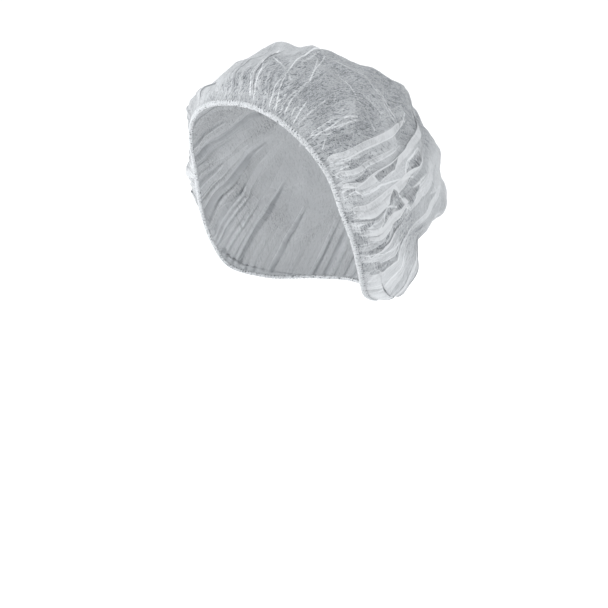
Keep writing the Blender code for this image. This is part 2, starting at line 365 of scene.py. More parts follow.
def ridges(edge_turn, drop, radius):
    """Main folds as rounded ridges: a bell across each fold line, in metres from it."""
    height = np.zeros_like(drop)
    for turn, top, bottom, height_share, width_share, _ in MAIN_FOLDS:
        across = np.radians(turn_between(edge_turn, turn)) * radius
        bell = np.exp(-(across / (RIDGE_WIDTH * width_share)) ** 2)
        height += RIDGE_HEIGHT * height_share * bell * fold_reach(drop, top, bottom - RIDGE_END)
    return height


def billows(turn, drop):
    """Air under the cloth: waves of 5 to 13 to the round whose crests wander with the drop."""
    waves = np.random.default_rng(11)
    height = np.zeros_like(drop)
    for count in BILLOWS:
        phase = waves.uniform(0, 2 * np.pi) + waves.uniform(-BILLOW_DRIFT, BILLOW_DRIFT) * drop
        crest = np.cos(np.radians(turn) * count + phase)
        middle = np.sin(np.pi * np.clip(drop * waves.uniform(*BILLOW_STRETCH), 0, 1))
        height += BILLOW_HEIGHT * crest * middle ** 2
    return height


def lobes(edge_turn, drop):
    """Single lobes and dents, each a bell in turn and drop."""
    height = np.zeros_like(drop)
    for turn, at_drop, height_share, half_round, half_down in LOBES:
        away = (turn_between(edge_turn, turn) / half_round) ** 2
        away = away + ((drop - at_drop) / half_down) ** 2
        height += LOBE_HEIGHT * height_share * np.exp(-away)
    return height * smooth_step(drop, 0.0, 0.1) * (1 - smooth_step(drop, 0.88, 1.0))


print(f"tallest ridge {RIDGE_HEIGHT * 1000:.1f} mm, tallest lobe {LOBE_HEIGHT * 1000:.1f} mm")

# %% [markdown]
# Folds as meanders
#
# A bump on a surface can't be a fold, because a fold lies over its neighbour. In a real pleat
# the cloth runs forward, turns back under itself and runs forward again. Carried along the
# ring, that is a meander: a sideways swing of minus sin(2 pi x) across each gather, with a rise
# that keeps the layers apart. Where the swing is larger than the gather is wide, the cloth
# overlaps itself threefold. Gathers at the edge swing a little, and main folds swing far. The
# grid's columns lie where a pleat turns, so its creases come out sharp.

# %% Meander
# how far above and below its own top a gather grows from nothing to its full size
GATHER_GROWTH = (0.1, 0.3)
EDGE_CALM = 0.6
# places across a gather: where the layer rises and sinks, and where its two creases lie
LIFT_START, LIFT_FULL, SINK_START, SINK_END = -0.36, 0.22, 0.3, 0.5
CREASE_PLACE, CREASE_WIDTH = 0.21, 0.04
UNDER_PLACE, UNDER_WIDTH, UNDER_SHARE = 0.487, 0.03, 0.8
# overhang in metres at which a fold counts as three full layers, and its crease as sharp
FULL_OVERHANG, CREASE_OVERHANG, LAYER_EDGE = 0.0008, 0.0004, 0.0003


def meander(gather, across, drop, pitch):
    """Swing, rise, overlap and crease of the cloth across each gather.

    Swing is minus w sin(2 pi x) and rise is a step up then down, both in metres. Two layers
    more lie wherever pitch * x - w sin(2 pi x) stays within its own turning points.
    """
    top, above, below = gather_top[gather], *GATHER_GROWTH
    small = smooth_step(drop, top - above, top + below) * gather_size[gather]
    swing, rise = GATHER_SWING * small, GATHER_RISE * small
    for turn, top, bottom, _, _, swing_share in MAIN_FOLDS:
        mine = gather == int((turn % 360.0) / 360.0 * GATHERS)
        reach = mine * fold_reach(drop, top, bottom) * swing_share
        swing = np.maximum(swing, FOLD_SWING * reach)
        rise = np.maximum(rise, FOLD_RISE * reach)
    swing = swing * (1 - EDGE_CALM * smooth_step(drop, 0.97, 1.0))
    rise = rise * (1 - smooth_step(drop, 0.90, 1.0))
    side = across * gather_side[gather]
    lift = smooth_step(side, LIFT_START, LIFT_FULL) * (1 - smooth_step(side, SINK_START, SINK_END))
    turning = np.arccos(np.clip(pitch / (2 * np.pi * swing + 1e-9), 0.0, 1.0)) / (2 * np.pi)
    reach = swing * np.sin(2 * np.pi * turning) - pitch * turning
    place = np.abs(pitch * across - swing * np.sin(2 * np.pi * across))
    folded = smooth_step(reach, 0.0, FULL_OVERHANG)
    within = (1.15 * reach - place) / (0.15 * reach + LAYER_EDGE)
    overlap = folded * np.clip(within, 0.0, 1.0)
    # crease lines: the whiter edges of the folded layers, made brighter still as painted light over
    # the shade beside each fold, most along the under crease
    under_crease_and_light = UNDER_SHARE * np.exp(-((side - UNDER_PLACE) / UNDER_WIDTH) ** 2)
    crease_and_painted_light = np.exp(-((side - CREASE_PLACE) / CREASE_WIDTH) ** 2) + under_crease_and_light
    crease_and_painted_light = crease_and_painted_light * smooth_step(reach, 0.0, CREASE_OVERHANG)
    return -swing * np.sin(2 * np.pi * across), rise * lift, overlap, crease_and_painted_light


print(f"a main fold swings {FOLD_SWING * 1000:.1f} mm, a gather {GATHER_SWING * 1000:.1f} mm")

# %% [markdown]
# Creases of handling
#
# The cap comes out of a packet pressed flat, so its crown keeps long straight creases. A
# triangle wave along a straight direction in space gives such a line wherever its corner meets
# the cloth, and a few of them in chance directions give facets with straight edges between.

# %% Straight creases
CREASE_HEIGHT = 0.00055
CREASE_SPACING = (0.018, 0.045)
CREASE_WAVES = 12


def creases(points):
    """Sum of triangle waves: the distance of p . d / spacing from the nearest whole number."""
    waves = np.random.default_rng(21)
    height = np.zeros(points.shape[:-1])
    for _ in range(CREASE_WAVES):
        way = waves.normal(size=3)
        way /= np.linalg.norm(way)
        along = points @ way / waves.uniform(*CREASE_SPACING) + waves.uniform()
        height += np.abs(along - np.round(along)) * 4 - 1
    return height * CREASE_HEIGHT


print(f"{CREASE_WAVES} triangle waves of {CREASE_HEIGHT * 1000:.2f} mm each way")

# %% [markdown]
# The cloth as one surface
#
# All of it comes together in one function of edge turn and drop. The point is taken on the
# smooth form at the swept turn, moved sideways by the meander, and lifted along the normal by
# all the heights. The grid closes on itself round the cap, and its first row is one point, so
# there is no seam and no hole at the pole.

# %% The cloth surface
LEAST_RADIUS = 0.004
stations = np.where(gather_side[:, None] > 0, RISING_STATIONS, FALLING_STATIONS)
every_row = np.ones((1, ROWS), dtype=int)
gather_grid = np.repeat(np.arange(GATHERS), stations.shape[1])[:, None] * every_row
across_grid = stations.reshape(-1, 1) * every_row
row_drops = 1.0 - (1.0 - np.linspace(0.0, 1.0, ROWS)) ** ROW_CROWDING
drop_grid = np.ones((len(gather_grid), 1)) * row_drops
turn_grid = (gather_grid + 0.5 + across_grid) / GATHERS * 360.0


def gathered_cloth():
    """Form at the swept and swung turn, plus normal times the sum of all heights."""
    turn = swept(turn_grid, drop_grid)
    radius = np.maximum(ring_radius(turn, drop_grid), LEAST_RADIUS)
    pitch = 2 * np.pi * radius / GATHERS
    swing, rise, overlap, crease_and_painted_light = meander(gather_grid, across_grid, drop_grid, pitch)
    moved = turn + np.degrees(swing / radius)
    base = form(moved, drop_grid)
    crown_fade = smooth_step(drop_grid, 0.02, 0.15) * (1 - smooth_step(drop_grid, 0.9, 1.0))
    height = ridges(turn_grid, drop_grid, radius)
    height = height + lobes(place_of_lobe(moved, drop_grid), drop_grid) + rise
    height += billows(moved, drop_grid)
    height = height * smooth_step(drop_grid, 0.0, 0.08) + creases(base) * crown_fade
    points = base + form_normal(moved, drop_grid) * height[..., None]
    return points, moved, turn_grid + np.degrees(swing / radius), overlap, crease_and_painted_light


cloth, turn_here, line_here, overlap_grid, crease_and_light_grid = gathered_cloth()
steps = np.linalg.norm(np.roll(cloth, -1, axis=0) - cloth, axis=-1).sum(axis=0)
print("cloth round each ring in mm:", np.round(steps[:: ROWS // 6] * 1000))

# %% [markdown]
# From a grid of points to a mesh
#
# A surface of two parameters becomes a mesh once its neighbours are joined four by four. The
# helper also carries a value for each point from the grid to the mesh, for the material.

# %% Grid to mesh
SHARP_ANGLE = 75.0


def grid_object(name, points, values=None, pole=False, tube=False):
    """Quads over a grid that closes round its first axis, and round its second if it is a tube."""
    columns, rows = points.shape[:2]
    ids = np.arange(columns * rows).reshape(columns, rows)
    if pole:
        ids = ids - np.arange(columns)[:, None]
        ids[:, 0] = 0
    below = np.roll(ids, -1, axis=1) if tube else ids[:, 1:]
    here = ids if tube else ids[:, :-1]
    quads = np.stack([here, below, np.roll(below, -1, axis=0), np.roll(here, -1, axis=0)], axis=-1)
    if pole:
        faces = quads[:, 0, :3].tolist() + quads[:, 1:].reshape(-1, 4).tolist()
    else:
        faces = quads.reshape(-1, 4).tolist()
    vertices = np.zeros((ids.max() + 1, 3))
    vertices[ids.reshape(-1)] = points.reshape(-1, 3)
    mesh = bpy.data.meshes.new(name)
    mesh.from_pydata(vertices.tolist(), [], faces)
    for key, grid in (values or {}).items():
        kind, field = ("FLOAT_VECTOR", "vector") if grid.ndim == 3 else ("FLOAT", "value")
        flat = np.zeros((len(vertices), *grid.shape[2:]), dtype=np.float32)
        flat[ids.reshape(-1)] = grid.reshape(-1, *grid.shape[2:])
        mesh.attributes.new(key, kind, "POINT").data.foreach_set(field, flat.reshape(-1))
    mesh.shade_smooth()
    mesh.set_sharp_from_angle(angle=np.radians(SHARP_ANGLE))
    made = bpy.data.objects.new(name, mesh)
    bpy.context.scene.collection.objects.link(made)
    print(f"{name}: {len(mesh.polygons)} faces")
    return made, ids


def lay_out(piece, ids, flat_points):
    """A UV map in metres, from the place of each grid point on the flat cloth."""
    mesh = piece.data
    by_vertex = np.zeros((len(mesh.vertices), 2))
    by_vertex[ids.reshape(-1)] = flat_points.reshape(-1, 2)
    corners = np.zeros(len(mesh.loops), dtype=int)
    mesh.loops.foreach_get("vertex_index", corners)
    layer = mesh.uv_layers.new(name="flat_cloth")
    layer.data.foreach_set("uv", by_vertex[corners].astype(np.float32).reshape(-1))


# %% [markdown]
# What the finish needs to know of the cloth
#
# The place on the flat disc gives the fibres their true size, and the place under the folds
# puts creases and gaps where the photograph has them. The puff tells airy cloth from cloth that
# lies close, and marks cloth over the brow that passes the head's outline as seen from the camera;
# both are painted lighter, as light coming through the cloth. The folding says where gathers
# reach, and the wrapped place, a point on a cylinder, lets chance layers run along the folds with
# no seam where the ring closes.

# %% Flat place, puff, folding and wrapped place
WRAP_RADIUS = 0.09
WRAP_HEIGHT = 0.045
# stand-offs over which the cloth is painted lighter, as light coming through it where it stands off
# the head
PUFF_STAND_OFFS = (0.008, 0.018)
# drops and turns (degrees from the brow) between which the folding sets in, and wanes again
FOLDING_DROPS, FOLDING_TURNS, WANING_TURNS = (0.40, 0.62), (36.0, 60.0), (112.0, 145.0)
BROW_FOLDING, WANING = 0.2, 0.65
# drop, turn (degrees) right of which the cloth over the brow, seen from the camera, passes the
# head's outline and is painted lighter, as light coming through it
LIGHT_THROUGH_EDGE = (
    (0.40, 20), (0.49, 16), (0.62, 8), (0.72, 4), (0.82, 4), (0.89, -2), (0.97, -12),
    (1.00, -20),
)
# degrees past that edge, and drops, between which the painted light comes in and then wanes again
LIGHT_THROUGH_RISE, LIGHT_THROUGH_FALL = (-1.0, 6.0), (50.0, 80.0)
LIGHT_THROUGH_DROPS, LIGHT_THROUGH_WANING_DROPS = (0.38, 0.50), (0.84, 0.97)
LIGHT_THROUGH_SHARE, LIGHT_THROUGH_WANING = 0.8, 0.4


def on_disc(edge_turn, drop):
    """Polar coordinates of the flat disc: drop times its radius, at the turn of the edge."""
    angle = np.radians(edge_turn)
    return np.stack([np.cos(angle), np.sin(angle)], axis=-1) * (drop * FLAT_DIAMETER / 2)[..., None]


from_centre = cloth - HEAD_CENTRE
distance = np.linalg.norm(from_centre, axis=-1)
stand_off = distance - head_radius(from_centre / distance[..., None])
from_brow = np.abs(turn_between(turn_here, 0.0))
folding = BROW_FOLDING + (1 - BROW_FOLDING) * smooth_step(from_brow, *FOLDING_TURNS)
folding = folding * smooth_step(drop_grid, *FOLDING_DROPS)
folding = folding * (1 - WANING * smooth_step(from_brow, *WANING_TURNS))
# painted light: the cloth over the brow is painted lighter past the head's outline
light_through_drops, light_through_turns = np.array(LIGHT_THROUGH_EDGE).T
clear = np.interp(drop_grid, light_through_drops, light_through_turns) - turn_between(turn_here, 0.0)
clear = smooth_step(clear, *LIGHT_THROUGH_RISE) * (1 - smooth_step(clear, *LIGHT_THROUGH_FALL))
clear = clear * smooth_step(drop_grid, *LIGHT_THROUGH_DROPS)
clear = clear * (LIGHT_THROUGH_SHARE - LIGHT_THROUGH_WANING * smooth_step(drop_grid, *LIGHT_THROUGH_WANING_DROPS))
level = np.zeros((*drop_grid.shape, 1))
on_form = np.concatenate([on_disc(turn_here, drop_grid), level], axis=-1)
wrapped = np.stack(
    [
        np.cos(np.radians(line_here)) * WRAP_RADIUS,
        np.sin(np.radians(line_here)) * WRAP_RADIUS,
        drop_grid * WRAP_HEIGHT,
    ],
    axis=-1,
)
# puff: painted light, where the cloth stands off the head or passes its outline
cloth_values = {
    "overlap": overlap_grid,
    "crease_and_painted_light": crease_and_light_grid,
    "drop": drop_grid,
    "puff_light": np.maximum(smooth_step(stand_off, *PUFF_STAND_OFFS), clear),
    "folding": folding,
    "wrapped": wrapped,
    "on_form": on_form,
}
cloth_piece, cloth_ids = grid_object("gathered_cloth", cloth, cloth_values, pole=True)
lay_out(cloth_piece, cloth_ids, on_disc(swept(turn_grid, drop_grid), drop_grid))

# %% [markdown]
# The elastic edge
#
# At the rim the cloth is turned over a narrow elastic and sewn down with an overlock stitch. The
# elastic was stretched while it was sewn, so it has since pulled the casing into fine ruffles,
# one for each stitch. The casing is a rounded section along the edge with a wave along it.

# %% Elastic edge
BAND_WIDTH = 0.0034
BAND_THICKNESS = 0.0020
CASING_EASE = 0.0003
RUFFLES = 272
RUFFLE_COLUMNS = 6
CASING_SIDES = 14
CLOTH_WALL = 0.0012
SEAM_GAP = 0.0003
SECTION_SQUARENESS = 2.6
RUFFLE_THICKENING, RUFFLE_WIDENING = 0.28, 0.24


def edge_frame(turn):
    """Centre of the band, and its downward and outward directions, at each turn."""
    edge = form(turn, np.ones_like(turn))
    down = edge - form(swept(turn, np.full_like(turn, 0.99)), np.full_like(turn, 0.99))
    down /= np.linalg.norm(down, axis=-1, keepdims=True)
    out = form_normal(turn, np.ones_like(turn))
    out -= down * (out * down).sum(axis=-1, keepdims=True)
    out /= np.linalg.norm(out, axis=-1, keepdims=True)
    return edge + down * (SEAM_GAP + BAND_WIDTH / 2) - out * CLOTH_WALL / 2, down, out


def on_casing(turn, section, extra):
    """Superellipse section round the band's centre, swollen by ruffles and by extra."""
    centre, down, out = edge_frame(turn)
    ruffle = 0.5 + 0.5 * np.cos(np.radians(turn) * RUFFLES)
    uneven = 0.75 + 0.25 * np.cos(np.radians(turn) * 41) * np.cos(np.radians(turn) * 13 + 2)
    swell = (ruffle - 0.5) * uneven
    power = SECTION_SQUARENESS
    corner = (np.abs(np.cos(section)) ** power + np.abs(np.sin(section)) ** power) ** (-1 / power)
    half_width = (BAND_WIDTH / 2 + CASING_EASE) * (1 + RUFFLE_WIDENING * swell) + extra
    half_depth = (BAND_THICKNESS / 2 + CASING_EASE) * (1 + RUFFLE_THICKENING * swell) + extra
    wide, thick = np.cos(section) * corner * half_width, np.sin(section) * corner * half_depth
    return centre + down * wide[..., None] + out * thick[..., None], ruffle


casing_columns = RUFFLES * RUFFLE_COLUMNS
casing_turn, casing_section = np.meshgrid(
    np.arange(casing_columns) / casing_columns * 360.0,
    -2 * np.pi * np.arange(CASING_SIDES) / CASING_SIDES,
    indexing="ij",
)
casing, ruffle_grid = on_casing(casing_turn, casing_section, 0.0)
# two rows of painted shade in the pockets, one near the lower edge and a fainter one near the upper
across_band = np.cos(casing_section)
dots = np.exp(-((across_band - 0.45) / 0.25) ** 2)
dots = dots + 0.7 * np.exp(-((across_band + 0.55) / 0.2) ** 2)
round_band = np.radians(casing_turn)
uneven_dots = 0.55 + 0.45 * np.sin(round_band * 37) * np.sin(round_band * 59 + 1)
pocket_shade = (1 - ruffle_grid) ** 1.5 * dots * uneven_dots
casing_piece, _ = grid_object("elastic_casing", casing, {"pocket_shade": pocket_shade}, tube=True)

# %% [markdown]
# The stitching
#
# An overlock machine lays its thread to and fro across the edge. One continuous thread follows
# a triangle wave on the casing's outer side, half a thread proud of it.

# %% Stitch thread
THREAD_RADIUS = 0.00024
THREAD_SIDES = 5
THREAD_POINTS = 8
STITCHES = 272
# where on the section the thread lies (degrees), how far it goes each way, and by what share
THREAD_MIDDLE, THREAD_REACH = 90.0, 72.0
PULLS = (0.6, 1.0)


def tube_along(path, radius, sides):
    """A closed tube: circles of the given radius, square to the path, joined into a ring."""
    ahead = np.roll(path, -1, axis=0) - np.roll(path, 1, axis=0)
    ahead /= np.linalg.norm(ahead, axis=-1, keepdims=True)
    away = path - path.mean(axis=0)
    side = np.cross(ahead, away)
    side /= np.linalg.norm(side, axis=-1, keepdims=True)
    up = np.cross(side, ahead)
    around = (np.arange(sides) / sides * 2 * np.pi)[None, :, None]
    return path[:, None] + radius * (np.cos(around) * side[:, None] + np.sin(around) * up[:, None])


thread_turn = np.arange(STITCHES * THREAD_POINTS) / (STITCHES * THREAD_POINTS) * 360.0
zigzag = np.abs((thread_turn / 360.0 * STITCHES) % 1.0 * 2 - 1) * 2 - 1
pulls = chance.uniform(*PULLS, STITCHES + 1)
pull = np.interp(thread_turn, np.linspace(0.0, 360.0, STITCHES + 1), pulls)
joined = smooth_step(thread_turn, 0.0, 1.0)
pull = pull * joined + pull[-1] * (1 - joined)
thread_section = np.radians(THREAD_MIDDLE + THREAD_REACH * zigzag * pull)
thread_path, _ = on_casing(thread_turn, thread_section, THREAD_RADIUS * 0.5)
thread = tube_along(thread_path, THREAD_RADIUS, THREAD_SIDES)
thread_piece, _ = grid_object("edge_stitches", thread, tube=True)

# %% [markdown]
# Shader maths as arithmetic
#
# A finish is a sum and a product of patterns, and it reads best as one. The class below wraps a
# socket, so that a + b, 1 - a and a * b add the Math nodes for it.

# %% Shader helper
class Signal:
    """A number, vector or colour that varies over a surface."""

    def __init__(self, tree, socket=None):
        self.tree, self.socket = tree, socket

    def node(self, kind, settings=None, values=None, output=0):
        """Any node: its settings first, then the values or links of its sockets."""
        made = self.tree.nodes.new("ShaderNode" + kind)
        for name, value in (settings or {}).items():
            setattr(made, name, value)
        for name, value in (values or {}).items():
            if isinstance(value, Signal):
                self.tree.links.new(value.socket, made.inputs[name])
            else:
                made.inputs[name].default_value = value
        return Signal(self.tree, made.outputs[output])

    def maths(self, operation, *values):
        """Any operation of the Math node."""
        return self.node("Math", {"operation": operation}, dict(enumerate(values)))

    def __add__(self, other):
        return self.maths("ADD", self, other)

    def __sub__(self, other):
        return self.maths("SUBTRACT", self, other)

    def __mul__(self, other):
        return self.maths("MULTIPLY", self, other)

    def __rsub__(self, other):
        return self.maths("SUBTRACT", other, self)

    __radd__ = __add__
    __rmul__ = __mul__

    def larger(self, other):
        """The larger of the two at each point."""
        return self.maths("MAXIMUM", self, other)

    def smaller(self, other):
        """The smaller of the two at each point."""
        return self.maths("MINIMUM", self, other)

    def between(self, start, end):
        """Zero at start, one at end, smooth between."""
        limits = {"Value": self, "From Min": start, "From Max": end}
        return self.node("MapRange", {"interpolation_type": "SMOOTHSTEP"}, limits)

    def between_straight(self, start, end):
        """Zero at start, one at end, straight between."""
        limits = {"Value": self, "From Min": start, "From Max": end}
        return self.node("MapRange", None, limits)

    def vector_maths(self, operation, *values, output="Vector"):
        """Any operation of the Vector Math node, with this signal first."""
        values = dict(enumerate((self, *values)))
        return self.node("VectorMath", {"operation": operation}, values, output)

    def tint(self, low, high):
        """A colour from low to high as this signal goes from zero to one."""
        ends = {0: self, 6: (*low, 1.0), 7: (*high, 1.0)}
        return self.node("Mix", {"data_type": "RGBA"}, ends, 2)


def new_material(name):
    """An empty material, its output node and the start of its maths."""
    made = bpy.data.materials.new(name)
    made.use_nodes = True
    made.node_tree.nodes.clear()
    output = made.node_tree.nodes.new("ShaderNodeOutputMaterial")
    return made, output, Signal(made.node_tree)


def bind(made, output, skin):
    """The finished skin becomes the material's surface."""
    made.node_tree.links.new(skin.socket, output.inputs["Surface"])
    print(f"{made.name}: {len(made.node_tree.nodes)} nodes")
    return made


# %% [markdown]
# Spunbond cloth
#
# The cloth is not woven. Endless fibres, thinner than a hair, are blown onto a belt and melted
# together at points. One layer of them is thin and greyish, and it is painted darker still by the
# shade inside the cap that would show through it. Where a pleat lays three layers on each other
# the cloth is whiter, more even and lets less through, and along a crease it is whitest; the
# creases are painted lighter again, as light over the shade beside each fold. The packet presses
# long creases into the crown, and between the main folds of the side there are gaps where one
# layer lies alone. Both are few and have known places, so two tables hold them.

# %% Tables of creases and gaps
# turn and drop (hundredths) of the points of each long crease that was pressed in by the packet
PRESSED_LINES = (
    ((9, 98), (7, 84), (3, 78), (-4, 60)), ((20, 98), (17, 80), (14, 60), (12, 42)),
    ((22, 98), (26, 78), (24, 68), (19, 50)), ((39, 97), (43, 88), (48, 81)),
    ((17, 98), (16, 88), (18, 80)), ((29, 98), (30, 86)),
    ((18, 49), (34, 46), (50, 45), (60, 47), (66, 49), (71, 51), (76, 52)),
    ((4, 73), (14, 79), (20, 83)), ((30, 53), (40, 61), (49, 65), (55, 64), (62, 69)),
    ((56, 44), (66, 45), (71, 48), (74, 51)), ((46, 80), (50, 75), (56, 67)),
    ((-20, 45), (-45, 42), (-70, 47)), ((-118, 30), (-128, 44)), ((172, 34), (168, 46), (170, 56)),
    ((19, 98), (20, 94), (22, 90)), ((27, 96), (27, 93), (28, 91)),
    ((24, 97), (25, 87), (26, 76), (19, 57)), ((7, 97), (3, 86), (-1, 72)),
    ((31, 97), (33, 90), (36, 80)), ((38, 97), (44, 90), (49, 79), (57, 68)), ((45, 97), (44, 93)),
    ((57, 88), (59, 90), (57, 95)), ((64, 97), (68, 91), (70, 83)),
    ((68, 98), (69, 92), (73, 89), (78, 81)), ((72, 89), (81, 77), (90, 67), (97, 61)),
    ((89, 65), (88, 60), (94, 50)), ((86, 74), (98, 72), (107, 72)),
    ((90, 97), (92, 88), (98, 78), (100, 72)), ((92, 87), (87, 79), (86, 75)),
    ((89, 81), (95, 77)), ((101, 98), (104, 89), (113, 80)), ((79, 48), (81, 40)),
)
# turn and drop (hundredths) of the corners of each gap between folds, a convex outline
GAPS = (
    ((88, 40), (90, 44), (83, 55), (77, 64), (80, 52)),
    ((55, 93), (59, 86), (69, 73), (65, 81), (60, 90)),
    ((79, 66), (77, 69), (72, 82), (76, 80), (80, 71)),
    ((95, 50), (98, 52), (96, 57), (90, 65), (89, 59)),
    ((93, 72), (97, 66), (101, 60), (104, 65), (105, 69)), ((86, 75), (99, 72), (92, 87)),
    ((102, 71), (106, 70), (109, 75), (102, 83), (98, 82)),
    ((85, 97), (85, 88), (87, 90), (88, 97)), ((99, 97), (98, 83), (100, 85), (103, 96)),
    ((106, 96), (114, 81), (117, 83), (112, 95)), ((69, 48), (76, 51), (81, 42), (77, 39)),
    ((65, 90), (68, 81), (71, 82), (67, 89)), ((66, 98), (68, 92), (70, 93), (69, 98)),
)
print(f"{len(PRESSED_LINES)} pressed lines, {len(GAPS)} gaps")

# %% [markdown]
# A web, a line and an outline as shader maths
#
# Close up the cloth is a cloudy web of fibres in every direction. The web here is the ridge
# lines of several stretched noises, each turned another way, on the flat cloth, so that it
# follows every fold. A pressed line is the distance to the nearest segment, and a gap the depth
# inside an outline: both need only sums, products and the smaller or larger of two numbers.

# %% Web, lines and outlines
FIBRE_TURNS = (12.0, 48.0, 84.0, 119.0, 156.0)
FIBRE_WIDTH, FIBRE_LENGTH, FIBRE_SHARPNESS = 0.0021, 0.0110, 12.0


def noise_at(start, place, scale, detail, output=0, roughness=0.5):
    """A noise texture read at a place."""
    values = {"Vector": place, "Scale": scale, "Detail": detail, "Roughness": roughness}
    return start.node("TexNoise", None, values, output)


def fibre_web(start, place):
    """The brightest of ridge lines 1 - |s (n - 1/2)|, n a noise stretched along each turn."""
    web = None
    scale = (1 / FIBRE_LENGTH, 1 / FIBRE_WIDTH, 1.0)
    for turn in FIBRE_TURNS:
        values = {"Vector": place, "Rotation": (0.0, 0.0, np.radians(turn)), "Scale": scale}
        turned = start.node("Mapping", {"vector_type": "POINT"}, values)
        noise = noise_at(start, turned, 1.0, 1.0)
        line = 1 - noise.maths("ABSOLUTE", noise * FIBRE_SHARPNESS - FIBRE_SHARPNESS / 2)
        web = line if web is None else web.larger(line)
    return web.between(0.2, 1.0)


def distance_to_lines(start, place, lines):
    """Distance to the nearest segment: |p - a - (b - a) t|, t the clamped share along it."""
    nearest = None
    for line in lines:
        turns, drops_along = np.array(line, dtype=float).T
        points = on_disc(turns, drops_along / 100)
        for first, last in zip(points[:-1], points[1:]):
            way = last - first
            away = place.vector_maths("SUBTRACT", (*first, 0.0))
            share = away.vector_maths("DOT_PRODUCT", (*(way / (way @ way)), 0.0), output="Value")
            share = share.smaller(1.0).larger(0.0)
            along = start.node("CombineXYZ", None, {0: share * way[0], 1: share * way[1]})
            gap = away.vector_maths("SUBTRACT", along).vector_maths("LENGTH", output="Value")
            nearest = gap if nearest is None else nearest.smaller(gap)
    return nearest


def depth_inside(start, place, outlines):
    """Least distance from the edges of a convex outline, largest over all; minus outside."""
    deepest = None
    for outline in outlines:
        turns, drops_along = np.array(outline, dtype=float).T
        corners = on_disc(turns, drops_along / 100)
        ways = np.roll(corners, -1, axis=0) - corners
        square = np.stack([-ways[:, 1], ways[:, 0]], axis=-1)
        square /= np.linalg.norm(ways, axis=-1)[:, None]
        square *= np.sign(((corners.mean(axis=0) - corners) * square).sum(axis=-1))[:, None]
        depth = None
        for corner, inward in zip(corners, square):
            along = place.vector_maths("DOT_PRODUCT", (*inward, 0.0), output="Value")
            edge = along - float(inward @ corner)
            depth = edge if depth is None else depth.smaller(edge)
        deepest = depth if deepest is None else deepest.larger(depth)
    return deepest


# %% [markdown]
# Density, and from it the finish
#
# The finish needs one number for each point: how much fibre lies there, with some painted light
# in it. Layers count most, and come from the folds of the mesh and, between those, from chance:
# cells stretched along the folds get more or less, with a line at each border. The puff adds
# painted light where the cloth stands off the head. Lines, partly painted light at the creases,
# and a mottled web are added. Tone and opacity follow from that number, and part of the light
# passes through.

# %% Cloth finish
# one layer's own grey, painted darker still by the shade inside the cap that would show through it
SINGLE_LAYER_TONE_AND_SHADE = (0.066, 0.076, 0.089)
FOLDED_TONE = (0.735, 0.75, 0.765)
GLOW_TONE = (0.44, 0.455, 0.47, 1.0)
GLOW_SHARE = 0.25
LEAST_ALPHA, ALPHA_GAIN = 0.86, 0.13
CELL_SCALE, PACKET_SCALE = 115.0, 24.0
PATCH_SCALE, STREAK_SCALE, CLOUD_SCALE, WAVER_SCALE = 28.0, 520.0, 560.0, 60.0
STREAK_STRETCH = 0.12
WAVER = 0.006
# how much density each kind of layer, line and mottling adds
BASE, PUFF_LIGHT_GAIN, PATCH_GAIN, CHANCE_GAIN, OVERLAP_GAIN = 0.05, 0.46, 0.30, 0.30, 0.42
STREAK_GAIN, EDGE_GAIN, GAP_LAYER = 0.55, 0.20, 0.20
CREASE_GAIN, CHANCE_LINE_GAIN, PRESSED_GAIN, PACKET_GAIN, RIM_GAIN = 0.60, 0.12, 0.42, 0.08, 0.16
WEB_GAIN, CLOUD_GAIN = 0.78, 0.90


def read(start, name, output="Fac"):
    """A value that the mesh carries."""
    return start.node("Attribute", {"attribute_name": name}, output=output)


def cells_at(start, place, scale, edges):
    """Voronoi cells: the distance to their edges, or else a chance number for each."""
    values = {"Vector": place, "Scale": scale, "Randomness": 1.0}
    if edges:
        return start.node("TexVoronoi", {"feature": "DISTANCE_TO_EDGE"}, values)
    return start.node("TexVoronoi", None, values, output="Color") * 1.0


def gap_masks(start, on_form):
    """The gaps and their rims: depth inside the outlines, whose edges a noise makes waver."""
    waver = noise_at(start, on_form, WAVER_SCALE, 0.0, output="Color")
    waver = waver.vector_maths("SUBTRACT", (0.5, 0.5, 0.5))
    waver = waver.vector_maths("MULTIPLY", (WAVER, WAVER, 0.0))
    depth = depth_inside(start, on_form.vector_maths("ADD", waver), GAPS)
    rim = depth.between(-0.0016, -0.0004) * (1 - depth.between(-0.0004, 0.0002))
    return depth.between(-0.0006, 0.0010), rim


